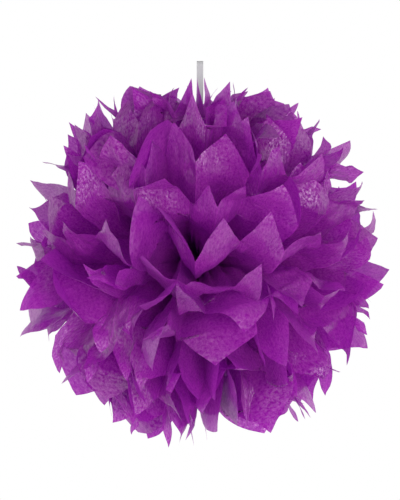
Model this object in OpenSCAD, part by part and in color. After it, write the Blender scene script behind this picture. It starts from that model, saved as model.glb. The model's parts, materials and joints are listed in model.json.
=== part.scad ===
// Hanging tissue-paper ball: a stack of accordion-pleated sheets tied at the waist with wire,
// each sheet fanned out to a front and a back half, and a ribbon loop to hang it by.
// Origin: centre of the hook in the ribbon loop. +Z is up, and the pleated strip runs along Y.

/* [Sheets] */
// Sheets pulled upwards from the tie
upper_sheets = 7; // [5:1:8]
// Sheets pulled downwards from the tie
lower_sheets = 5; // [4:1:6]
// Length of one half of a sheet, from the tie to the tip of a point
half_length = 208; // [180:1:230]
// Width of one pleat panel
panel_w = 47; // [42:1:54]
// Panels in each half of a sheet
panels = 14; // [10:2:16]
// Depth of the point cut at the end of each panel
point_depth = 38; // [20:1:60]
// Thickness of the solid that stands for the crumpled tissue
tissue_t = 0.8; // [0.5:0.1:1]

/* [Spread] */
// Rise of the topmost and bottommost sheets where they leave the tie, in degrees
pole_rise = 68; // [60:1:72]
// Drop of the surface where the upper sheets part from the lower ones, in degrees
split_drop = 10; // [0:1:14]
// Upward curl of the topmost sheet from tie to tip, in degrees
pole_curl = 14; // [8:1:24]
// Curl of the sheets next to the split, in degrees
split_curl = 58; // [40:1:70]

/* [Tie] */
// Length along the strip that the wire pinches
waist_len = 13; // [11:1:16]
// Radius of the pinched bundle
waist_r = 6; // [6:0.1:7]
// Diameter of the tie wire
wire_d = 1; // [0.8:0.1:1.2]
// Radius of the eye twisted in the wire, to the middle of the wire
eye_r = 3.5; // [3.2:0.1:4]

/* [Ribbon] */
// Width of the ribbon
ribbon_w = 7; // [5:0.5:8]
// Thickness of the ribbon
ribbon_t = 0.4; // [0.3:0.1:0.5]
// Inner radius of the loop where it goes over the hook
hook_r = 5; // [3:0.5:6]
// Drop from the hook's centre to the middle of the tie
hang_drop = 210; // [200:1:240]

/* [Hidden] */
sheets = upper_sheets + lower_sheets;
SIDES = ["front", "back"];
function two_digits(n) = n < 10 ? str("0", n) : str(n);
function sheet_name(n, side) = str("sheet_", two_digits(n), "_", side);

// Colours
violet = [0.52, 0.10, 0.56];
deep_violet = [0.36, 0.04, 0.42];
wire_grey = [0.62, 0.63, 0.66];
ribbon_grey = [0.82, 0.82, 0.83];

// Pleats
rows = 8;                           // rows of triangles from the tie to the notches
fold_length = half_length - point_depth;
straight_length = 95;               // the sheet leaves the tie straight, then curls
opened_at = 110;                    // distance from the tie at which the pleats are fully open
bundle_half = 5;                    // half the width of the gathered pleats at the tie
tie_gap = 0.7;                      // from the end of the pinched bundle to a sheet's inner edge
seam_half = 1.5;                    // half the gap between front and back halves at the rim
inner_y = waist_len / 2 + tie_gap;
layer_pitch = 1;                    // spacing of the sheets in the tied stack
least_gather = 0.004;               // pleat depth at the tie, as a share of the open depth
clear_at = 25;                      // distance from the tie at which a sheet is clear of its neighbours
least_fan = 76;                     // heading of the outermost panel edges where they leave the tie
fanned_at = 90;                     // distance from the tie at which they have their full heading
tie_t = 0.2;                        // thickness at the tie, as a share of the full one
steepest_lift = 3;                  // most that a steep panel's skins are spread to keep its thickness

// Tie
groove_r = waist_r - 0.6;
groove_half = 1.2;
ring_r = groove_r + wire_d / 2 + 0.05;
twist_top = waist_r + 5;
twist_r = 0.95 * wire_d;
eye_z = twist_top + eye_r;
pivot_z = eye_z + eye_r;            // the ribbon bears on the top of the eye here

// Knot, with the small turn of ribbon that goes through the eye
turn_r = 1.2;
turn_w = 3;
knot_bottom = pivot_z + turn_r;
knot_h = 8;
knot_r = 3.6;
knot_top_r = 2.6;
knot_gap = 0.2;
$fn = 48;

// How far along the pleats' opening a point is, from gathered (near 0) to open (1)
function opened(s) =
    let (u = min(s / opened_at, 1)) least_gather + (1 - least_gather) * u * u * (3 - 2 * u);

// How far clear of the tie a point is, from 0 to 1
function clear_of_tie(s) = min(s / clear_at, 1);

// Angle of the sheet's middle surface above the horizontal, s mm from the tie
function slope(s, rise, curl) =
    rise + curl * max(s - straight_length, 0) / (half_length - straight_length);

// Distance out and height of the middle surface: a straight run, then an arc
function reach(s, rise, curl) =
    let (
        arc_r = (half_length - straight_length) / (curl * PI / 180),
        run = min(s, straight_length),
        a = slope(s, rise, curl)
    )
    [
        run * cos(rise) + arc_r * (sin(a) - sin(rise)),
        run * sin(rise) - arc_r * (cos(a) - cos(rise))
    ];

// Half the depth of the zigzag: what is left of the panel's width once it spans its chord
function half_fold(s, out) =
    let (chord = 2 * out * sin(90 / panels))
    0.5 * sqrt(max(panel_w * panel_w - chord * chord, 0)) * opened(s);

// Half the solid's thickness along the middle surface's normal, wider where the panels are steep
function half_thickness(s, out) =
    let (
        chord = 2 * out * sin(90 / panels),
        depth = 2 * half_fold(s, out),
        spread = chord > 0 ? sqrt(chord * chord + depth * depth) / chord : 1
    )
    tissue_t / 2 * (tie_t + (1 - tie_t) * clear_of_tie(s)) * min(spread, steepest_lift);

// Heading of the outermost panel edges, s mm from the tie. Past fanned_at it is over 90 degrees,
// which closes the seam at the rim
function fan(s, rise, curl) =
    let (
        out = reach(fold_length, rise, curl).x,
        full = 90 + asin((inner_y - seam_half) / (out + half_fold(fold_length, out)))
    )
    least_fan + (full - least_fan) * min(s / fanned_at, 1);

// A point on panel edge j, s mm from the tie, on the upper (1) or lower (-1) skin.
// Edges run from +X round to -X, and half-steps of j are panel middles
function sheet_point(j, s, rise, curl, fold_side, skin_side) =
    let (
        p = reach(s, rise, curl),
        a = slope(s, rise, curl),
        off = fold_side * half_fold(s, p.x) + skin_side * half_thickness(s, p.x),
        out = p.x - off * sin(a) * clear_of_tie(s),
        across = 1 - 2 * j / panels,
        heading = fan(s, rise, curl) * across
    )
    [
        bundle_half * across + out * sin(heading),
        inner_y + out * cos(heading),
        p.y + off * cos(a)
    ];

// One skin of a half sheet: the panel edges row by row, then the tips. first_fold is 1 where
// the outermost edge folds up
function skin(rise, curl, first_fold, skin_side) = concat(
    [
        for (i = [0:rows], j = [0:panels])
            let (fold_side = j % 2 == 0 ? first_fold : -first_fold)
            sheet_point(j, fold_length * i / rows, rise, curl, fold_side, skin_side)
    ],
    [for (j = [0:panels - 1]) sheet_point(j + 0.5, half_length, rise, curl, 0, skin_side)]
);

function at(i, j) = i * (panels + 1) + j;
function tip(j) = (rows + 1) * (panels + 1) + j;
skin_size = (rows + 1) * (panels + 1) + panels;

skin_faces = concat(
    [
        for (i = [0:rows - 1], j = [0:panels - 1], half = [0, 1])
            half == 0
                ? [at(i, j), at(i, j + 1), at(i + 1, j + 1)]
                : [at(i, j), at(i + 1, j + 1), at(i + 1, j)]
    ],
    [for (j = [0:panels - 1]) [at(rows, j), at(rows, j + 1), tip(j)]]
);

// The sheet's outline, edge by edge, in the order that the faces above turn
outline = concat(
    [for (j = [0:panels - 1]) [at(0, j), at(0, j + 1)]],
    [for (i = [0:rows - 1]) [at(i, panels), at(i + 1, panels)]],
    [for (j = [0:panels - 1]) [at(rows, j + 1), tip(j)]],
    [for (j = [0:panels - 1]) [tip(j), at(rows, j)]],
    [for (i = [0:rows - 1]) [at(i + 1, 0), at(i, 0)]]
);

half_sheet_faces = concat(
    skin_faces,
    [for (f = skin_faces) [f[2] + skin_size, f[1] + skin_size, f[0] + skin_size]],
    [for (e = outline) [e[1], e[0], e[0] + skin_size]],
    [for (e = outline) [e[1], e[0] + skin_size, e[1] + skin_size]]
);

// Back half of a sheet whose middle surface leaves the tie at rise and curls up by curl
module half_sheet(rise, curl, first_fold) {
    color(violet)
        polyhedron(
            points = concat(
                skin(rise, curl, first_fold, 1),
                skin(rise, curl, first_fold, -1)
            ),
            faces = half_sheet_faces
        );
}

// Sheet n of the stack, counted from the top. Lower sheets are mirrored, with their folds
// turned so that the whole stack nests
module placed_half_sheet(n, side) {
    up = n <= upper_sheets;
    count = up ? upper_sheets : lower_sheets;
    share = ((up ? n : sheets + 1 - n) - 1) / (count - 1);
    split_rise = up ? -split_drop : split_drop + 2;
    rise = pole_rise + (split_rise - pole_rise) * share;
    curl = pole_curl + (split_curl - pole_curl) * sin(90 * share);
    stack_z = (sheets + 1 - 2 * n) / 2 * layer_pitch;
    translate([0, 0, stack_z - hang_drop])
        mirror([0, 0, up ? 0 : 1])
            mirror([0, side == "front" ? 1 : 0, 0])
                half_sheet(rise, curl, up ? 1 : -1);
}

// The crimped middles of all the sheets, pressed together under the wire
module pinched_waist() {
    color(deep_violet)
        translate([0, 0, -hang_drop])
            rotate([90, 0, 0])
                rotate_extrude()
                    polygon([
                        [0, -waist_len / 2],
                        [waist_r, -waist_len / 2],
                        [waist_r, -groove_half],
                        [groove_r, -groove_half],
                        [groove_r, groove_half],
                        [waist_r, groove_half],
                        [waist_r, waist_len / 2],
                        [0, waist_len / 2]
                    ]);
}

module wire_ring(r) {
    rotate_extrude()
        translate([r, 0])
            circle(d = wire_d, $fn = 24);
}

// Wire round the waist, twisted above it and opened to an eye
module wire_tie() {
    color(wire_grey)
        translate([0, 0, -hang_drop]) {
            rotate([90, 0, 0])
                wire_ring(ring_r);
            translate([0, 0, ring_r])
                cylinder(h = twist_top - ring_r + wire_d / 4, r = twist_r);
            translate([0, 0, eye_z])
                rotate([90, 0, 0])
                    wire_ring(eye_r);
        }
}

// Knot in the ribbon's two ends, and the turn of ribbon that holds the eye
module ribbon_knot() {
    color(ribbon_grey)
        translate([0, 0, -hang_drop]) {
            translate([0, 0, knot_bottom])
                rotate_extrude()
                    polygon([
                        [0, 0],
                        [turn_w / 2, 0],
                        [knot_r, knot_h * 0.3],
                        [knot_r, knot_h * 0.7],
                        [knot_top_r, knot_h],
                        [0, knot_h]
                    ]);
            translate([0, 0, pivot_z])
                rotate([0, 90, 0])
                    difference() {
                        cylinder(h = turn_w, r = turn_r + ribbon_t, center = true);
                        cylinder(h = turn_w + 1, r = turn_r, center = true);
                    }
        }
}

// Ribbon doubled over the hook: a half turn at the top and two runs down to the knot
ribbon_foot_y = 1.4;
ribbon_foot_z = knot_bottom + knot_h + knot_gap - hang_drop;
ribbon_lean = atan((hook_r + ribbon_t / 2 - ribbon_foot_y) / -ribbon_foot_z);
module hanging_ribbon() {
    color(ribbon_grey) {
        rotate([90, 0, 90])
            rotate([0, 0, -ribbon_lean])
                rotate_extrude(angle = 180 + 2 * ribbon_lean)
                    translate([hook_r, -ribbon_w / 2])
                        square([ribbon_t, ribbon_w]);
        for (turn = [0, 180])
            rotate([0, 0, turn])
                ribbon_run();
    }
}

// One straight run, tangent to the top turn, cut level just above the knot
module ribbon_run() {
    run = -ribbon_foot_z / cos(ribbon_lean) + 2;
    difference() {
        rotate([-ribbon_lean, 0, 0])
            translate([-ribbon_w / 2, hook_r, -run])
                cube([ribbon_w, ribbon_t, run]);
        translate([-ribbon_w, -hook_r, ribbon_foot_z - 10])
            cube([2 * ribbon_w, 3 * hook_r, 10]);
    }
}

hanging_ribbon();
ribbon_knot();
wire_tie();
pinched_waist();
for (n = [1:sheets], side = SIDES)
    placed_half_sheet(n, side);
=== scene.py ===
"""Looks of a hanging tissue-paper ball: pleated sheets of violet tissue tied at the waist, on a ribbon.

Every half sheet is worked out as the paper is: pleat edges leave the tie at a heading and a rise and
crease as they go, the panels between them zigzag as far as the paper's width lets them, the whole
sheet is crushed a little, and the cut points crease over on lines of their own.
Lengths are in metres and angles in degrees, in the CAD frame.
"""
import json
import math

import bpy
import numpy as np
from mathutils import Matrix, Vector, geometry, noise


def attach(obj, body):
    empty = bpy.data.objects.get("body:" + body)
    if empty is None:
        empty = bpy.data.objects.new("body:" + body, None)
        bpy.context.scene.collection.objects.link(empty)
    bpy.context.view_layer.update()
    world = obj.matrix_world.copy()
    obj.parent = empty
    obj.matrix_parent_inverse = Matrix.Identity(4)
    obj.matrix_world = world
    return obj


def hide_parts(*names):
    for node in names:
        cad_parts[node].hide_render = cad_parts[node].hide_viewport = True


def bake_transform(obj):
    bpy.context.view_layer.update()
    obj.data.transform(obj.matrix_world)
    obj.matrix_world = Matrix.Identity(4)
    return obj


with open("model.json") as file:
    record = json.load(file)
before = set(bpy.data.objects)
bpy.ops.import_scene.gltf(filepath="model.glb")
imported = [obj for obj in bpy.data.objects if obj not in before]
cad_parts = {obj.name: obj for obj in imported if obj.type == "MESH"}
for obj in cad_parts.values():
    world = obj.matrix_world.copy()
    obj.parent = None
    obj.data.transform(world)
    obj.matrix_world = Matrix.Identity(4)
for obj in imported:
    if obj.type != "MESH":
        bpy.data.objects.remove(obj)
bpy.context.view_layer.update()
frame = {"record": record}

# ---------------------------------------------------------------- sizes that repeat the CAD model's

UPPER_SHEETS = 7
SHEETS = 12
SIDES = {"front": -1, "back": 1}
PANELS = 14
PANEL_W = 0.047
HALF_LENGTH = 0.208
POINT_DEPTH = 0.038
NOTCH = HALF_LENGTH - POINT_DEPTH
OPENED_AT = 0.110
BUNDLE_HALF = 0.005
INNER_Y = 0.0072
SEAM_HALF = 0.0015
LAYER_PITCH = 0.001
TIE = Vector((0.0, 0.0, -0.210))
WAIST_R = 0.006
GROOVE = 0.0006                           # depth that the wire pulls the waist in by
WIRE_D = 0.001
WIRE_GAP = 0.00005                        # between the wire and the paper
RING_R = WAIST_R - GROOVE + WIRE_D / 2 + WIRE_GAP
TWIST_L = 0.005
TWIST_TOP = WAIST_R + TWIST_L
EYE_R = 0.0035
EYE_Z = TWIST_TOP + EYE_R
PIVOT_Z = EYE_Z + EYE_R
KNOT_RISE = 0.0012                        # from the top of the wire's eye to the knot's underside
KNOT_BOTTOM = PIVOT_Z + KNOT_RISE
KNOT_H = 0.008
HOOK_R = 0.005
RIBBON_W, RIBBON_T = 0.007, 0.0004
RIBBON_GAP = 0.0002                       # between the knot and the ribbon's foot
RIBBON_FOOT_Y = 0.0014
RIBBON_FOOT_Z = TIE.z + KNOT_BOTTOM + KNOT_H + RIBBON_GAP

# ---------------------------------------------------------------- camera

VIEW_HEIGHT = 0.5415                      # height that the picture takes in, at the ball
VIEW_CENTRE_Z = -0.1993
CAMERA_DISTANCE = 2.4


def add_camera():
    data = bpy.data.cameras.new("camera")
    data.sensor_fit = "VERTICAL"
    data.sensor_height = 24.0
    data.lens = data.sensor_height * CAMERA_DISTANCE / VIEW_HEIGHT
    camera = bpy.data.objects.new("camera", data)
    camera.location = (0.0, -CAMERA_DISTANCE, VIEW_CENTRE_Z)
    camera.rotation_euler = (math.radians(90), 0, 0)
    bpy.context.scene.collection.objects.link(camera)
    bpy.context.scene.camera = camera


# ---------------------------------------------------------------- materials

def new_material(name):
    material = bpy.data.materials.new(name)
    material.use_nodes = True
    tree = material.node_tree
    tree.nodes.clear()
    return material, tree


def add_node(tree, kind, settings={}, inputs={}):
    """A node with its input sockets set, by name or number, to values or to other sockets."""
    node = tree.nodes.new(kind)
    for key, value in settings.items():
        setattr(node, key, value)
    for key, value in inputs.items():
        if isinstance(value, bpy.types.NodeSocket):
            tree.links.new(value, node.inputs[key])
        else:
            node.inputs[key].default_value = value
    return node


def add_noise(tree, coords, scale, detail=4.0, roughness=0.6):
    return add_node(tree, "ShaderNodeTexNoise",
                    inputs={"Vector": coords, "Scale": scale, "Detail": detail,
                            "Roughness": roughness}).outputs[0]


def add_sum(tree, first, share, second):
    """first * share + second"""
    return add_node(tree, "ShaderNodeMath", {"operation": "MULTIPLY_ADD"},
                    {0: first, 1: share, 2: second}).outputs[0]


def add_ramp(tree, factor, low_at, low, high_at, high):
    ramp = add_node(tree, "ShaderNodeValToRGB", inputs={0: factor})
    ends = ramp.color_ramp.elements
    ends[0].position, ends[0].color = low_at, (*low, 1)
    ends[1].position, ends[1].color = high_at, (*high, 1)
    return ramp.outputs[0]


def add_creases(tree, coords, scale, waver):
    """Height of crumpled paper: it climbs from scattered points to sharp ridges that waver, with finer
    facets inside."""
    bend = add_node(tree, "ShaderNodeTexNoise",
                    inputs={"Vector": coords, "Scale": scale * 1.5, "Detail": 2.0})
    shift = stretched(tree, bend.outputs[1], (waver, waver, 0.0))
    moved = add_node(tree, "ShaderNodeVectorMath", {"operation": "ADD"}, {0: coords, 1: shift}).outputs[0]
    return add_node(tree, "ShaderNodeTexVoronoi", {"feature": "F1", "normalize": True}, {
        "Vector": moved, "Scale": scale, "Detail": 3.0, "Roughness": 0.6}).outputs["Distance"]


def add_fade(tree, value, full_until, none_from):
    """1 up to full_until, then down to 0 at none_from."""
    return add_node(tree, "ShaderNodeMapRange",
                    inputs={0: value, 1: full_until, 2: none_from, 3: 1.0, 4: 0.0}).outputs[0]


def add_bump(tree, height, strength, distance):
    return add_node(tree, "ShaderNodeBump",
                    inputs={"Height": height, "Strength": strength, "Distance": distance}).outputs[0]


def add_mix(tree, share, first, second):
    """The first shader, with a share of the second in its place."""
    return add_node(tree, "ShaderNodeMixShader", inputs={0: share, 1: first, 2: second}).outputs[0]


def stretched(tree, coords, scale):
    return add_node(tree, "ShaderNodeVectorMath", {"operation": "MULTIPLY"}, {0: coords, 1: scale}).outputs[0]


def finish_material(tree, shader):
    out = add_node(tree, "ShaderNodeOutputMaterial")
    tree.links.new(shader, out.inputs["Surface"])


TONE_LOW, TONE_HIGH = 0.30, 0.78          # tones at which the colour is at its darkest and its lightest; besides the dye's mottle, the tone carries painted shade on crease ridges, painted light near the tie, and pale pleat folds that are partly whitened crease and partly painted highlight
# colours off and through the paper at those tones: the dye, with the painted shade and light of the tone in
# them
DYE_DARK_AND_PAINTED_SHADE, DYE_LIGHT_AND_PAINTED_LIGHT = (0.26, 0.001, 0.30), (0.62, 0.060, 0.60)
GLOW_DARK, GLOW_LIGHT = (0.46, 0.004, 0.64), (0.66, 0.035, 0.78)
THROUGH_SHARE = 0.5                       # of the light that goes through the paper
PORE_SHARE = 0.07                         # of the paper's area that is open between its fibres
FOLD_LINE_HALF = 0.0011                   # half the width of the pale line along a pleat fold, partly the paper's whitened crease and partly a painted highlight
PAINTED_LIGHT_UNTIL, PAINTED_LIGHT_FROM = 0.05, 0.13        # distances from the tie between which the painted light that makes the paper paler fades out


def tissue_tone_and_painted_light(tree, uv, fibres, creases, wrinkles):
    """Lightness of the dyed paper, with painted light and shade in it. Crease ridges are darker, painted
    shade of the crumpled relief, and pleat folds are lighter, partly the whitened crease and partly a painted
    highlight. So is the paper near the tie, painted light which keeps the shaded gaps between the petals
    from going black."""
    clouds = add_noise(tree, uv, 30.0, 5.0)
    mottle = add_sum(tree, clouds, 0.4, -0.25)
    mottle = add_sum(tree, fibres, 1.1, mottle)
    tone = add_sum(tree, mottle, 1.0, 0.2)
    # painted shade: wrinkles and crease ridges are darkened in the colour, standing in for the shading of the
    # crumpled relief
    tone = add_sum(tree, wrinkles, -0.25, tone)
    tone = add_sum(tree, creases, -0.12, tone)
    place = add_node(tree, "ShaderNodeSeparateXYZ", inputs={0: uv})
    # pale line along each pleat fold, partly the paper's whitened crease and partly a painted highlight
    fold_distance = add_node(tree, "ShaderNodeMath", {"operation": "PINGPONG"},
                             {0: place.outputs[0], 1: PANEL_W / 2}).outputs[0]
    fold_crease_and_highlight = add_fade(tree, fold_distance, 0.0, FOLD_LINE_HALF)
    tone = add_sum(tree, fold_crease_and_highlight, 0.22, tone)
    # painted light: the paper near the tie is made paler, so that the shaded gaps between the petals don't go
    # black
    painted_light_near_tie = add_fade(tree, place.outputs[1], PAINTED_LIGHT_UNTIL, PAINTED_LIGHT_FROM)
    return add_sum(tree, painted_light_near_tie, 0.45, tone)


def tissue_material():
    """Dyed tissue: light comes through it as well as off it, fibres mottle it and creases catch light. Its
    colour also holds painted shade on crease ridges, painted light near the tie, and pale pleat folds that
    are partly whitened crease and partly a painted highlight.
    """
    material, tree = new_material("violet_tissue")
    uv = add_node(tree, "ShaderNodeUVMap", {"uv_map": "paper"}).outputs[0]
    fibres = add_noise(tree, stretched(tree, uv, (1.0, 0.5, 1.0)), 520.0, 4.0, 0.75)
    creases = add_creases(tree, uv, 26.0, 0.010)
    wrinkles = add_creases(tree, stretched(tree, uv, (1.0, 0.3, 1.0)), 120.0, 0.004)
    height = add_sum(tree, fibres, 0.10, 0.0)
    height = add_sum(tree, wrinkles, 0.55, height)
    height = add_sum(tree, creases, 0.9, height)
    bump = add_bump(tree, height, 1.0, 0.004)

    tone = tissue_tone_and_painted_light(tree, uv, fibres, creases, wrinkles)
    # the paper's colours: its dye, with the painted shade and light of the tone
    dye_and_painted_light = add_ramp(tree, tone, TONE_LOW, DYE_DARK_AND_PAINTED_SHADE, TONE_HIGH, DYE_LIGHT_AND_PAINTED_LIGHT)
    glow = add_ramp(tree, tone, TONE_LOW, GLOW_DARK, TONE_HIGH, GLOW_LIGHT)
    off = add_node(tree, "ShaderNodeBsdfDiffuse", inputs={"Color": dye_and_painted_light, "Normal": bump})
    through = add_node(tree, "ShaderNodeBsdfTranslucent", inputs={"Color": glow, "Normal": bump})
    paper = add_mix(tree, THROUGH_SHARE, off.outputs[0], through.outputs[0])
    gloss = add_node(tree, "ShaderNodeBsdfGlossy",
                     inputs={"Color": (0.96, 0.78, 0.95, 1), "Roughness": 0.30, "Normal": bump})
    slant = add_node(tree, "ShaderNodeLayerWeight", inputs={"Blend": 0.35, "Normal": bump}).outputs["Facing"]
    shine = add_sum(tree, slant, 0.42, add_sum(tree, fibres, 0.6, -0.27))
    glossy = add_mix(tree, shine, paper, gloss.outputs[0])
    clear = add_node(tree, "ShaderNodeBsdfTransparent", inputs={"Color": (0.9, 0.4, 1.0, 1)})
    finish_material(tree, add_mix(tree, PORE_SHARE, glossy, clear.outputs[0]))
    return material


def crimped_material():
    """The same tissue, pressed into many layers: no light comes through it."""
    material, tree = new_material("crimped_tissue")
    coords = add_node(tree, "ShaderNodeTexCoord").outputs["Object"]
    folds = add_noise(tree, stretched(tree, coords, (1.0, 0.15, 1.0)), 900.0)
    surface = add_node(tree, "ShaderNodeBsdfPrincipled", inputs={
        "Base Color": add_ramp(tree, folds, 0.35, (0.10, 0.003, 0.14), 0.65, (0.26, 0.012, 0.32)),
        "Roughness": 0.75, "Normal": add_bump(tree, folds, 0.6, 0.0006)})
    finish_material(tree, surface.outputs[0])
    return material


def wire_material():
    """Bare steel wire with fine draw marks."""
    material, tree = new_material("steel_wire")
    coords = add_node(tree, "ShaderNodeTexCoord").outputs["Object"]
    marks = add_noise(tree, coords, 2600.0)
    surface = add_node(tree, "ShaderNodeBsdfPrincipled", inputs={
        "Base Color": add_ramp(tree, marks, 0.35, (0.42, 0.42, 0.44), 0.65, (0.62, 0.62, 0.64)),
        "Metallic": 1.0, "Roughness": add_sum(tree, marks, 0.2, 0.25),
        "Normal": add_bump(tree, marks, 0.25, 0.0001)})
    finish_material(tree, surface.outputs[0])
    return material


def ribbon_material():
    """Sheer woven ribbon: fine ribs across it, yarns along it, and a little light through it."""
    material, tree = new_material("sheer_ribbon")
    uv = add_node(tree, "ShaderNodeUVMap", {"uv_map": "weave"}).outputs[0]
    ribs = add_node(tree, "ShaderNodeTexWave", {"bands_direction": "Y"},
                    {"Vector": uv, "Scale": 520.0, "Distortion": 0.5, "Detail": 2.0}).outputs[0]
    yarns = add_node(tree, "ShaderNodeTexWave", {"bands_direction": "X"},
                     {"Vector": uv, "Scale": 640.0, "Distortion": 0.3}).outputs[0]
    weave = add_sum(tree, yarns, 0.4, add_sum(tree, ribs, 0.6, 0.0))
    bump = add_bump(tree, weave, 0.35, 0.0002)
    shade = add_ramp(tree, weave, 0.2, (0.78, 0.78, 0.79), 0.8, (0.90, 0.90, 0.91))
    off = add_node(tree, "ShaderNodeBsdfDiffuse", inputs={"Color": shade, "Normal": bump})
    through = add_node(tree, "ShaderNodeBsdfTranslucent", inputs={"Color": shade})
    finish_material(tree, add_mix(tree, 0.35, off.outputs[0], through.outputs[0]))
    return material


# ---------------------------------------------------------------- pieces in general

def link(name, mesh, material, body=None):
    piece = bpy.data.objects.new(name, mesh)
    bpy.context.scene.collection.objects.link(piece)
    mesh.materials.append(material)
    if body:
        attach(piece, body)
    return piece


def unit(v):
    return v / np.linalg.norm(v, axis=-1, keepdims=True)


def swept(path, section, first_side, closed=False):
    """Points of a section carried along a path, as (path, section, 3), with the section's x kept near
    first_side."""
    path = np.asarray(path, float)
    ahead = np.roll(path, -1, axis=0) - np.roll(path, 1, axis=0)
    if not closed:
        ahead[0], ahead[-1] = path[1] - path[0], path[-1] - path[-2]
    ahead = unit(ahead)
    side = np.array(first_side, float)
    rings = []
    for place, direction in zip(path, ahead):
        side = unit(side - direction * (side @ direction))
        lift = np.cross(direction, side)
        rings.append(place + section[:, :1] * side + section[:, 1:] * lift)
    return np.array(rings)


def tube_mesh(name, rings, closed=False, uv_name=None, widths=None, run=None):
    """A mesh over rings of points, capped at its ends unless it is closed on itself."""
    count, sides = rings.shape[:2]
    index = np.arange(count * sides).reshape(count, sides)
    turned = np.roll(index, -1, axis=1)
    ahead = np.roll(index, -1, axis=0) if closed else index[1:]
    turned_ahead = np.roll(turned, -1, axis=0) if closed else turned[1:]
    here, turned_here = (index, turned) if closed else (index[:-1], turned[:-1])
    faces = np.stack([here, turned_here, turned_ahead, ahead], axis=-1).reshape(-1, 4).tolist()
    if not closed:
        faces += [index[0][::-1].tolist(), index[-1].tolist()]
    mesh = bpy.data.meshes.new(name)
    mesh.from_pydata(rings.reshape(-1, 3).tolist(), [], faces)
    if uv_name:
        uv = np.stack([np.broadcast_to(widths, (count, sides)),
                       np.broadcast_to(run[:, None], (count, sides))], axis=-1)
        add_uv(mesh, uv_name, uv)
    mesh.shade_smooth()
    return mesh


def add_uv(mesh, name, places):
    layer = mesh.uv_layers.new(name=name)
    corner_vertex = np.empty(len(mesh.loops), dtype=np.int32)
    mesh.loops.foreach_get("vertex_index", corner_vertex)
    layer.data.foreach_set("uv", places.reshape(-1, 2)[corner_vertex].astype(np.float32).ravel())


def round_section(radius, sides=12):
    turn = np.linspace(0, 2 * np.pi, sides, endpoint=False)
    return radius * np.stack([np.cos(turn), np.sin(turn)], axis=-1)


# ---------------------------------------------------------------- ribbon, knot, wire and waist

WOVEN_T = RIBBON_T * 0.7                  # thickness of the drawn ribbon between its edge beads


def ribbon_section(width):
    """Flat band with a bead along each edge, as its outline."""
    bead = WOVEN_T * 0.75
    half = width / 2
    edge = [(half, 0), (half - bead * 0.4, bead), (half - bead * 1.6, bead), (half - bead * 2.4, WOVEN_T / 2)]
    top = [(-x, y) for x, y in edge] + edge[::-1]
    return np.array(top + [(x, -y) for x, y in top[-2:0:-1]])


def ribbon_path():
    """From the knot up the front run, over the hook and down the back run."""
    turn_r = HOOK_R + RIBBON_T / 2
    lean = math.atan((turn_r - RIBBON_FOOT_Y) / -RIBBON_FOOT_Z)
    z = np.linspace(RIBBON_FOOT_Z, turn_r * math.sin(lean), 60)
    run = [(0.0, -(RIBBON_FOOT_Y + (zz - RIBBON_FOOT_Z) * math.tan(lean)), zz) for zz in z[:-1]]
    turns = np.linspace(math.pi - lean, lean, 25)
    over = [(0.0, turn_r * math.cos(a), turn_r * math.sin(a)) for a in turns]
    return run + over + [(0.0, -y, zz) for _, y, zz in run[::-1]]


def make_ribbon(material):
    path = np.array(ribbon_path())
    steps = np.linalg.norm(np.diff(path, axis=0), axis=1)
    run = np.concatenate([[0], np.cumsum(steps)])
    section = ribbon_section(RIBBON_W)
    mesh = tube_mesh("ribbon", swept(path, section, (1, 0, 0)), uv_name="weave",
                     widths=section[:, 0], run=run)
    piece = link("hanging_ribbon_loop", mesh, material)
    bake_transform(piece)
    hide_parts("hanging_ribbon")


KNOT_SCALE = 0.00095                      # of the trefoil curve that the knot follows
SCRUNCHED_HALF = (0.0013, 0.0008)         # half the scrunched ribbon's width and thickness in the knot
TURN_R = 0.0014                           # of the turn round the wire's eye
TURN_W = 0.003
TAIL_L = 0.016


def make_knot(material):
    """An overhand knot of scrunched ribbon, the turn that holds the wire's eye, and two cut tails."""
    t = np.linspace(0, 2 * np.pi, 120, endpoint=False)
    loops = np.stack([np.sin(t) + 2 * np.sin(2 * t), np.cos(t) - 2 * np.cos(2 * t), -1.5 * np.sin(3 * t)], -1)
    centre = np.array(TIE + Vector((0, 0, KNOT_BOTTOM + KNOT_H / 2)))
    scrunched = round_section(1.0, 14) * np.array(SCRUNCHED_HALF)
    knot = swept(loops * KNOT_SCALE + centre, scrunched, (0, 0, 1), closed=True)
    meshes = [tube_mesh("knot", knot, True, "weave", scrunched[:, 0] * 2, t * 0.01)]
    a = np.linspace(0, 2 * np.pi, 40, endpoint=False)
    turn = np.stack([0 * a, TURN_R * np.cos(a), TURN_R * np.sin(a)], -1)
    turn = turn + np.array(TIE + Vector((0, 0, PIVOT_Z)))
    narrow = ribbon_section(TURN_W)
    meshes.append(tube_mesh("turn", swept(turn, narrow, (1, 0, 0), closed=True), True, "weave",
                            narrow[:, 0], a * TURN_R))
    wide = ribbon_section(RIBBON_W * 0.8)
    for side in (-1, 1):
        s = np.linspace(0, TAIL_L, 16)
        tail = np.stack([side * (0.001 + 0.8 * s), 0.002 * side + 0.3 * side * s, 0.3 * s - 22 * s ** 2], -1)
        meshes.append(tube_mesh("tail", swept(tail + centre, wide, (0, 1, 0)), False, "weave", wide[:, 0], s))
    piece = link("ribbon_knot_tied", joined("knot", meshes), material, "knot")
    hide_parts("ribbon_knot")


def joined(name, meshes):
    """One mesh of several, with its first one's UV map."""
    verts, faces, uvs = [], [], []
    for mesh in meshes:
        start = len(verts)
        verts += [tuple(v.co) for v in mesh.vertices]
        faces += [[start + i for i in face.vertices] for face in mesh.polygons]
        if mesh.uv_layers:
            uvs += [tuple(corner.uv) for corner in mesh.uv_layers[0].data]
    out = bpy.data.meshes.new(name)
    out.from_pydata(verts, [], faces)
    if uvs:
        layer = out.uv_layers.new(name=meshes[0].uv_layers[0].name)
        layer.data.foreach_set("uv", np.array(uvs, dtype=np.float32).ravel())
    for mesh in meshes:
        bpy.data.meshes.remove(mesh)
    out.shade_smooth()
    return out


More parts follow.
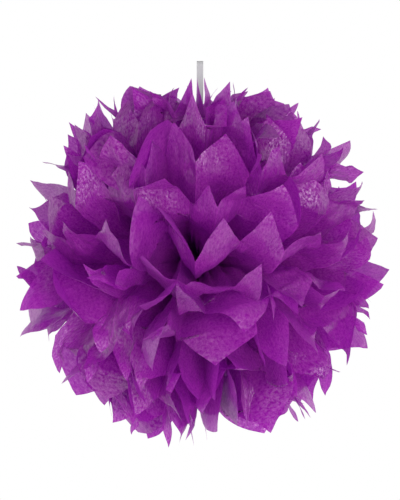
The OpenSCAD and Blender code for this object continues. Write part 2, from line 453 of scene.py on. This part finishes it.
TWIST_TURNS = 3.5
STRAND_R = WIRE_D * 0.52                  # from the twist's axis to the middle of each strand
RING_SLANT = 0.0003                       # sideways step that takes the ring's ends past each other


def make_wire(material):
    """One wire: round the waist, twisted on itself, and opened to an eye."""
    t = np.linspace(0, 1, 60)
    turns = 2 * np.pi * TWIST_TURNS * t
    z = RING_R + (TWIST_TOP - RING_R) * t
    up = np.stack([STRAND_R * np.cos(turns), STRAND_R * np.sin(turns), z], -1)
    down = np.stack([-STRAND_R * np.cos(turns), -STRAND_R * np.sin(turns), z], -1)[::-1]
    a = np.linspace(-np.pi / 2, 1.5 * np.pi, 50)[2:-2]
    eye = np.stack([-EYE_R * np.cos(a), 0 * a, EYE_Z + EYE_R * np.sin(a)], -1)
    b = np.linspace(np.pi / 2, 2.5 * np.pi, 80)[4:-4]
    ring = np.stack([RING_R * np.cos(b), RING_SLANT * np.cos(b / 2), RING_R * np.sin(b)], -1)
    path = np.concatenate([up, eye, down, ring]) + np.array(TIE)
    mesh = tube_mesh("wire", swept(path, round_section(WIRE_D / 2), (0, 1, 0), closed=True), True)
    piece = link("twisted_wire_tie", mesh, material, "core")
    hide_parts("wire_tie")


FLUTES = 14                               # round the crimped waist


def make_waist(material):
    """The sheets' middles, crimped to a fluted bundle and pinched by the wire."""
    y = np.linspace(-INNER_Y - 0.002, INNER_Y + 0.002, 40)[:, None]
    turn = np.linspace(0, 2 * np.pi, 12 * FLUTES, endpoint=False)[None, :]
    flute = 2 * np.abs((turn * FLUTES / np.pi) % 2 - 1) - 1
    pinch = 1 - 0.13 * np.exp(-(y / 0.0016) ** 2)
    r = (WAIST_R - 0.0004) * pinch * (1 + 0.045 * flute + 0.03 * np.sin(turn * 5 + 160 * y))
    rings = np.stack([0.9 * r * np.cos(turn), y + 0 * turn, r * np.sin(turn)], -1) + np.array(TIE)
    piece = link("crimped_waist", tube_mesh("waist", rings), material, "core")
    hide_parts("pinched_waist")


# ---------------------------------------------------------------- the paper's shape

COLUMNS = 20                              # steps across a panel
ROWS = 80                                 # steps from the tie to the cut edge
FIRST_ROW = 0.004                         # how far from the tie the paper starts
ROW_SPREAD = 1.3                          # above 1, so that the rows lie closer near the cut edge
CRUMPLED = np.array([0.975, 0.975, 0.955])  # size of the crumpled ball, as shares of the smooth one's
WARP_SEED = 2                             # without one, mathutils' noise differs at each run

KINKS = 3                                 # places along a pleat edge where it creases
KINK_SCATTER = 0.018                      # how far along the edge a kink strays
KINK_SPREAD = 15.0                        # degrees
KINK_RUN = 0.003                          # length over which a kink turns
LEAN_SPREAD = 6.0                         # degrees that an edge leans up or down
SIDE_CURL_LOSS = 0.2                      # share of the curl that a sheet's outermost edges lose
DEEPEST = 1.15                            # fold depth, as a share of the full one's
GATHERS = 3                               # small waves across a panel near the tie
GATHER_H = 0.006
CREASES = [(0.0040, 0.050, 1.0),          # height and facet size, and below 1 the facets are longer
           (0.0030, 0.020, 1.0),          # along the pleats
           (0.0020, 0.009, 0.15)]
CREASED_FROM = 0.08                       # distance from the tie where the creases reach full height
SEAM_TURN = 9                             # degrees that every other layer reaches past the halves' seam
TURN_SPREAD = 4.6                         # degrees that one pleat edge strays sideways
SWING = 5.0                               # degrees that a half sheet's middle may swing sideways


def eased(t):
    t = np.clip(t, 0, 1)
    return t * t * (3 - 2 * t)


def opened(s):
    """Share of the zigzag's depth at a distance s from the tie."""
    at_tie = 0.02
    return at_tie + (1 - at_tie) * eased(s / OPENED_AT)


def between_edges(values, x):
    """values at the pleat edges 0, 1, 2 ..., and straight between them."""
    j = np.clip(np.floor(x).astype(int), 0, len(values) - 2)
    u = x - j
    return values[j] * (1 - u) + values[j + 1] * u


def crushed(rng, paper, spacing):
    """Height of crushed paper, -1 to 1: flat triangles between scattered points, with sharp folds."""
    stray = 0.42
    size = np.array([PANELS * PANEL_W, HALF_LENGTH])
    counts = np.ceil(size / spacing).astype(int) + 3
    grid = np.stack(np.meshgrid(np.arange(counts[0]), np.arange(counts[1]), indexing="ij"), -1).reshape(-1, 2)
    dots = (grid - 1 + rng.uniform(-stray, stray, grid.shape)) * spacing
    heights = rng.uniform(-1, 1, len(dots))
    result = geometry.delaunay_2d_cdt([Vector(d) for d in dots], [], [], 0, 1e-7)
    places, triangles, sources = result[0], result[2], result[3]
    column_x = paper[:, 0, 0]
    height = np.zeros(paper.shape[:2])
    for triangle in triangles:
        a, b, c = (np.array(places[i]) for i in triangle)
        ha, hb, hc = (heights[sources[i][0]] for i in triangle)
        first, last = np.searchsorted(column_x, (min(a[0], b[0], c[0]), max(a[0], b[0], c[0])))
        if first == last:
            continue
        q = paper[first:last] - a
        ab, ac = b - a, c - a
        area = ab[0] * ac[1] - ab[1] * ac[0]
        v = (q[..., 0] * ac[1] - q[..., 1] * ac[0]) / area
        w = (ab[0] * q[..., 1] - ab[1] * q[..., 0]) / area
        inside = (v >= 0) & (w >= 0) & (v + w <= 1)
        height[first:last][inside] = (ha + v * (hb - ha) + w * (hc - ha))[inside]
    return height


def layer(n):
    """Sheet n from the top: its rise, its curl and where the curl starts, the share of the full depth
    that its shallowest pleat may have, its place in the stack, and +1 up or -1 down."""
    up = n <= UPPER_SHEETS
    count = UPPER_SHEETS if up else SHEETS - UPPER_SHEETS
    share = ((n if up else SHEETS + 1 - n) - 1) / (count - 1)
    pole_rise = 69 if up else 66
    split_rise = -10 if up else 11
    rise = pole_rise + (split_rise - pole_rise) * share
    least_curl, more_curl = 3, 55
    curl = least_curl + more_curl * math.sin(math.radians(90 * share))
    curl_from = 0.085 + 0.045 * share
    shallowest = 0.85 - 0.5 * share
    return rise, curl, curl_from, shallowest, (SHEETS + 1 - 2 * n) / 2 * LAYER_PITCH, 1 if up else -1


def pleat_rise(rng, x, s, rise, curl, curl_from):
    """Slope of the paper in radians: it leaves the tie at its layer's rise, leans, and kinks,
    upward on average."""
    theta = rise + 0 * s
    flatter_sides = 1 - SIDE_CURL_LOSS * np.linspace(-1, 1, PANELS + 1) ** 2
    for k in range(KINKS):
        share = (k + 0.5) / KINKS
        at = curl_from + (HALF_LENGTH - curl_from) * share
        at = between_edges(at + rng.uniform(-KINK_SCATTER, KINK_SCATTER, PANELS + 1), x)
        bend = between_edges(flatter_sides * curl / KINKS + rng.normal(0, KINK_SPREAD, PANELS + 1), x)
        theta = theta + bend * np.clip((s - at) / KINK_RUN + 0.5, 0, 1)
    lean = between_edges(rng.normal(0, LEAN_SPREAD, PANELS + 1), x)
    return np.radians(theta + lean * np.clip((s - 0.02) / 0.05, 0, 1))


def pleat_offset(rng, x, u, s, out, phase, shallowest, paper):
    """Distance of the paper off its layer's middle surface: the zigzag, the gathers and the creases."""
    chord = 2 * np.maximum(out, 0) * math.sin(math.radians(90 / PANELS))
    fold = 0.5 * np.sqrt(np.maximum(PANEL_W ** 2 - chord ** 2, 0)) * opened(s)
    depth = between_edges(rng.uniform(shallowest, DEEPEST, PANELS + 1), x)
    zigzag = (1 - 2 * u) * phase
    gather = (np.minimum(GATHER_H, 0.1 * s) * (1 - eased((s - 0.02) / 0.12))
              * np.sin(2 * np.pi * GATHERS * u) * phase)
    creases = sum(high * crushed(rng, paper * (1, squeeze), size) for high, size, squeeze in CREASES)
    return zigzag * fold * depth + gather + creases * np.clip(s / CREASED_FROM, 0, 1)


def pleat_heading(rng, x, s, past_seam, widest):
    """Heading of the paper in radians, 0 straight out from the seam: the edges fan out evenly, then stray,
    and the outermost ones reach past the seam."""
    over = math.degrees(math.asin((INNER_Y - SEAM_HALF) / (widest + 0.01)))
    turn = rng.normal(0, TURN_SPREAD, PANELS + 1)
    turn = turn + rng.uniform(-SWING, SWING) * np.sin(np.linspace(0, np.pi, PANELS + 1))
    turn[0], turn[-1] = past_seam, past_seam
    fanned = (90 + over) * (1 - 2 * x / PANELS)
    return np.radians(fanned + between_edges(turn, x) * np.clip((s - 0.01) / 0.10, 0, 1.2))


def half_sheet(n, side):
    """Points of half a sheet as (columns, rows, 3), and their flat places on the paper."""
    rng = np.random.default_rng(100 * n + SIDES[side])
    rise, curl, curl_from, shallowest, stack_z, up = layer(n)
    x = np.arange(PANELS * COLUMNS + 1)[:, None] / COLUMNS
    panel = np.minimum(np.floor(x).astype(int), PANELS - 1)
    u = x - panel
    end = NOTCH + POINT_DEPTH * (1 - np.abs(2 * u - 1))
    t = np.linspace(0, 1, ROWS + 1)[None, :]
    s = FIRST_ROW + (end - FIRST_ROW) * (1 - (1 - t) ** ROW_SPREAD)
    paper = np.stack([(x + 0 * s) * PANEL_W, s], axis=-1)

    theta = pleat_rise(rng, x, s, rise, curl, curl_from)
    step = np.diff(s, axis=1, prepend=0)
    out = np.cumsum(np.cos(theta) * step, axis=1)
    height = np.cumsum(np.sin(theta) * step, axis=1)
    phase = up * np.where(panel % 2 == 0, 1, -1)
    off = pleat_offset(rng, x, u, s, out, phase, shallowest, paper)
    past_seam = SEAM_TURN * (-1) ** n * SIDES[side]
    heading = pleat_heading(rng, x, s, past_seam, out[:, -1].max())

    r = out - off * np.sin(theta)
    across = 1 - 2 * x / PANELS
    p = np.stack([BUNDLE_HALF * across + r * np.sin(heading),
                  INNER_Y + r * np.cos(heading),
                  height + off * np.cos(theta)], axis=-1)
    p = creased_points(rng, p, paper)
    p[..., 1] *= SIDES[side]
    p = p * CRUMPLED
    p[..., 2] = p[..., 2] * up + stack_z
    return warped(p), paper


SLANT_SPREAD = 34                         # degrees between a cut point's crease and its panel
POINT_TURN, POINT_SPREAD = 4, 34          # degrees that a cut point bends by, in the middle and around it
FOLDED_BACK = 0.1                         # share of the cut points that fold right back


def creased_points(rng, p, paper):
    """Each cut point bends over a crease of its own, and a few fold right back."""
    p = p.copy()
    for k in range(PANELS):
        columns = slice(k * COLUMNS, (k + 1) * COLUMNS + 1)
        q, flat = p[columns], paper[columns]
        tip, left, right = q[COLUMNS // 2, -1], q[0, -1], q[-1, -1]
        along = unit(tip - (left + right) / 2)
        sideways = unit(right - left)
        sideways = unit(sideways - along * (sideways @ along))
        normal = np.cross(sideways, along)
        slant = math.radians(rng.normal(0, SLANT_SPREAD))
        start = NOTCH + POINT_DEPTH * rng.uniform(0, 0.5)
        turn = rng.normal(POINT_TURN, POINT_SPREAD)
        if rng.random() < FOLDED_BACK:
            turn = rng.choice([-1, 1]) * rng.uniform(95, 150)
        turn = math.radians(turn)
        beyond = ((flat[..., 1] - start) * math.cos(slant)
                  + (flat[..., 0] - (k + 0.5) * PANEL_W) * math.sin(slant))
        beyond = np.clip(np.minimum(beyond, flat[..., 1] - NOTCH), 0, None)[..., None]
        direction = along * math.cos(slant) + sideways * math.sin(slant)
        q += beyond * ((math.cos(turn) - 1) * direction + math.sin(turn) * normal)
    return p


FULL_WARP_AT = 0.2                        # distance from the tie
BROAD_WARP, BROAD_WARP_H = 8.0, 0.014     # waves a metre, and the most that they move the paper
FINE_WARP, FINE_WARP_H = 22.0, 0.004
BROAD_WARP_FROM = Vector((3.1, 7.7, 1.3))  # place in the noise, so that the two don't line up


def warped(p):
    """Uneven fullness of the whole ball, the same for all the sheets so that they stay nested."""
    flat = p.reshape(-1, 3)
    moved = flat.copy()
    for i, q in enumerate(flat):
        v = Vector(q)
        far = min(v.length / FULL_WARP_AT, 1.0)
        broad = noise.noise_vector(v * BROAD_WARP + BROAD_WARP_FROM) * BROAD_WARP_H
        fine = noise.noise_vector(v * FINE_WARP) * FINE_WARP_H
        moved[i] += np.array(broad + fine) * far ** 1.5
    return moved.reshape(p.shape)


def sheet_mesh(name, points, paper):
    columns, rows = points.shape[:2]
    index = np.arange(columns * rows).reshape(columns, rows)
    quads = np.stack([index[:-1, :-1], index[1:, :-1], index[1:, 1:], index[:-1, 1:]], axis=-1).reshape(-1, 4)
    mesh = bpy.data.meshes.new(name)
    mesh.from_pydata(points.reshape(-1, 3).tolist(), [], quads.tolist())
    add_uv(mesh, "paper", paper)
    mesh.shade_smooth()
    mesh.set_sharp_from_angle(angle=math.radians(30))
    return mesh


def make_sheets(material):
    bodies = frame["record"]["behaviour"]["bodies"]
    noise.seed_set(WARP_SEED)
    for n in range(1, SHEETS + 1):
        for side in SIDES:
            node = f"sheet_{n:02d}_{side}"
            points, paper = half_sheet(n, side)
            points = points + np.array(TIE)
            body = next(name for name, nodes in bodies.items() if node in nodes)
            piece = link("tissue_" + node, sheet_mesh(node, points, paper), material, body)
            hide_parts(node)


# ---------------------------------------------------------------- stage and light

FLOOR_Z, FLOOR_HALF = -2.8, 16.0
FLOOR_GLOW = 0.3                          # light of the floor's own, which keeps it pale from every side
PALE_BELOW, GREY_ABOVE = 0.25, 0.55       # how steep a direction is, 0 level and 1 straight up or down
KEY_PLACE, KEY_SIZE, KEY_POWER = (0.8, -2.0, -0.5), 1.0, 18


def add_area(name, location, size, power):
    data = bpy.data.lights.new(name, "AREA")
    data.size = size
    data.energy = power
    lamp = bpy.data.objects.new(name, data)
    lamp.location = location
    lamp.rotation_euler = (TIE - Vector(location)).to_track_quat("-Z", "Y").to_euler()
    bpy.context.scene.collection.objects.link(lamp)


def add_world():
    """White near the horizon, behind the ball, and grey above and below it."""
    world = bpy.data.worlds.new("world")
    bpy.context.scene.world = world
    world.use_nodes = True
    sky = world.node_tree
    toward = add_node(sky, "ShaderNodeTexCoord").outputs["Generated"]
    rise = add_node(sky, "ShaderNodeSeparateXYZ", inputs={0: toward}).outputs["Z"]
    steep = add_node(sky, "ShaderNodeMath", {"operation": "ABSOLUTE"}, {0: rise}).outputs[0]
    shade = add_ramp(sky, steep, PALE_BELOW, (1.0, 1.0, 1.0), GREY_ABOVE, (0.29, 0.29, 0.29))
    sky.links.new(shade, sky.nodes["Background"].inputs[0])


def add_floor():
    mesh = bpy.data.meshes.new("floor")
    corners = [(-1, -1), (1, -1), (1, 1), (-1, 1)]
    mesh.from_pydata([(x * FLOOR_HALF, y * FLOOR_HALF, FLOOR_Z) for x, y in corners], [], [(0, 1, 2, 3)])
    pale, tree = new_material("pale_floor")
    matt = add_node(tree, "ShaderNodeBsdfDiffuse", inputs={"Color": (0.8, 0.8, 0.8, 1)})
    lit = add_node(tree, "ShaderNodeEmission", inputs={"Color": (1, 1, 1, 1), "Strength": FLOOR_GLOW})
    both = add_node(tree, "ShaderNodeAddShader", inputs={0: matt.outputs[0], 1: lit.outputs[0]})
    finish_material(tree, both.outputs[0])
    mesh.materials.append(pale)
    floor = bpy.data.objects.new("floor", mesh)
    bpy.context.scene.collection.objects.link(floor)


def add_stage():
    bpy.context.scene.view_settings.view_transform = "Standard"
    add_world()
    add_area("key", KEY_PLACE, KEY_SIZE, KEY_POWER)
    add_floor()


# ---------------------------------------------------------------- build

add_camera()
ribbon = ribbon_material()
make_ribbon(ribbon)
make_knot(ribbon)
make_wire(wire_material())
make_waist(crimped_material())
make_sheets(tissue_material())
add_stage()
